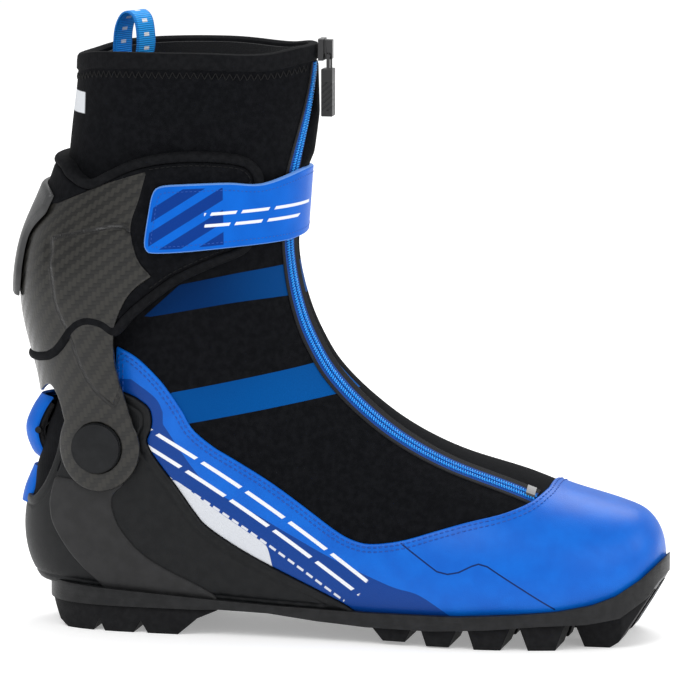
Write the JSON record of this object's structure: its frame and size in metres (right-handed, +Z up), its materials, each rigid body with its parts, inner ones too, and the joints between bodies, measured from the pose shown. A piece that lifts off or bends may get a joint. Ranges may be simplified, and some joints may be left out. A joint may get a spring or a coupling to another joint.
{
  "type": "cross country ski boot",
  "caption": "Skate-style cross country boot: soft zipped upper, hinged carbon cuff with instep strap, heel counter and binding sole with a toe bar.",
  "frame": {"origin": "bottom centre of the whole boot's box, on the ground under the treads", "axes": "+X from heel to toe, +Y to the inner side of the foot, +Z up from the ground"},
  "size_m": [0.3025, 0.1004, 0.2797],
  "materials": {
    "outsole_rubber": "satin moulded rubber",
    "tread_rubber": "matte moulded rubber",
    "bar_steel": "brushed",
    "board_fibre": "matte fibre board",
    "footbed_fabric": "flat knit",
    "neoprene": "fine jersey face",
    "fleece": "brushed fleece",
    "puff_plastic": "matte",
    "blue_synthetic": "satin coated synthetic",
    "counter_plastic": "fine grained",
    "band_plastic": "semi-gloss",
    "zip_blue": "nylon coil",
    "zip_tape": "woven tape",
    "tongue_fabric": "knit over foam",
    "guide_plastic": "gloss",
    "carbon": "twill carbon, satin lacquer",
    "pad_fabric": "knit over foam",
    "wing_synthetic": "matte coated synthetic",
    "spoiler_plastic": "gloss",
    "strap_synthetic": "satin coated synthetic",
    "hook_fabric": "hook and loop",
    "webbing_blue": "grosgrain webbing",
    "pivot_plastic": "matte",
    "rivet_steel": "brushed",
    "slider_metal": "gloss enamel",
    "grip_rubber": "soft matte"
  },
  "bodies": {
    "boot": {"outsole": "outsole_rubber", "heel_tread": "tread_rubber", "forefoot_lugs": "tread_rubber", "toe_lugs": "tread_rubber", "toe_bar": "bar_steel", "lasting_board": "board_fibre", "footbed": "footbed_fabric", "softshell_lower": "neoprene", "liner_lower": "fleece", "toe_puff": "puff_plastic", "rand": "blue_synthetic", "heel_counter": "counter_plastic", "chassis_band_lateral": "band_plastic", "chassis_band_medial": "band_plastic", "counter_piping": "counter_plastic", "zip_tape_lower": "zip_tape", "zip_teeth_lower": "zip_blue", "zip_bottom_stop": "zip_blue", "tongue": "tongue_fabric", "lace_guides": "guide_plastic", "pivot_bushing_lateral": "pivot_plastic", "pivot_bushing_medial": "pivot_plastic", "pivot_cap_lateral": "pivot_plastic", "pivot_cap_medial": "pivot_plastic", "pivot_rivet_lateral": "rivet_steel", "pivot_rivet_medial": "rivet_steel", "rear_strap_anchor": "strap_synthetic", "ankle_gusset": "neoprene"},
    "cuff": {"carbon_cuff": "carbon", "cuff_pad": "pad_fabric", "cuff_wing_lateral": "wing_synthetic", "cuff_wing_medial": "wing_synthetic", "cuff_edge_binding": "pad_fabric", "rear_spoiler": "spoiler_plastic", "ankle_sleeve": "neoprene", "collar_liner": "fleece", "collar_binding": "neoprene", "zip_tape_upper": "zip_tape", "zip_teeth_upper": "zip_blue", "strap_anchor": "hook_fabric", "strap_landing_patch": "hook_fabric", "pull_loop": "webbing_blue", "rear_strap_loop": "strap_synthetic", "rear_strap_bar": "rivet_steel"},
    "strap": {"cuff_strap": "strap_synthetic"},
    "rear_tab": {"rear_strap_tab": "strap_synthetic"},
    "slider": {"zip_slider": "slider_metal"},
    "pull": {"zip_pull_link": "rivet_steel", "zip_pull_grip": "grip_rubber"}
  },
  "joints": [
    {"name": "cuff_pivot", "type": "hinge", "parent": "boot", "child": "cuff", "pos_m": [-0.104, 0, 0.086], "axis": [0, 1, 0], "range_deg": [-4, 12], "stiffness_Nm_per_rad": 6, "deforming": ["ankle_gusset"]},
    {"name": "cuff_strap_peel", "type": "hinge", "parent": "cuff", "child": "strap", "pos_m": [-0.0338, 0.0335, 0.195], "axis": [0, 0, 1], "range_deg": [0, 80]},
    {"name": "rear_strap_peel", "type": "hinge", "parent": "cuff", "child": "rear_tab", "pos_m": [-0.1395, 0, 0.104], "axis": [0, 1, 0], "range_deg": [0, 100]},
    {"name": "zip_slide", "type": "slide", "parent": "cuff", "child": "slider", "axis": [-0.1, -0.2156, -0.9713], "range_m": [0, 0.034]},
    {"name": "zip_pull_swing", "type": "hinge", "parent": "slider", "child": "pull", "pos_m": [-0.0056, 0, 0.2618], "axis": [0, -1, 0], "range_deg": [-5, 130]}
  ]
}
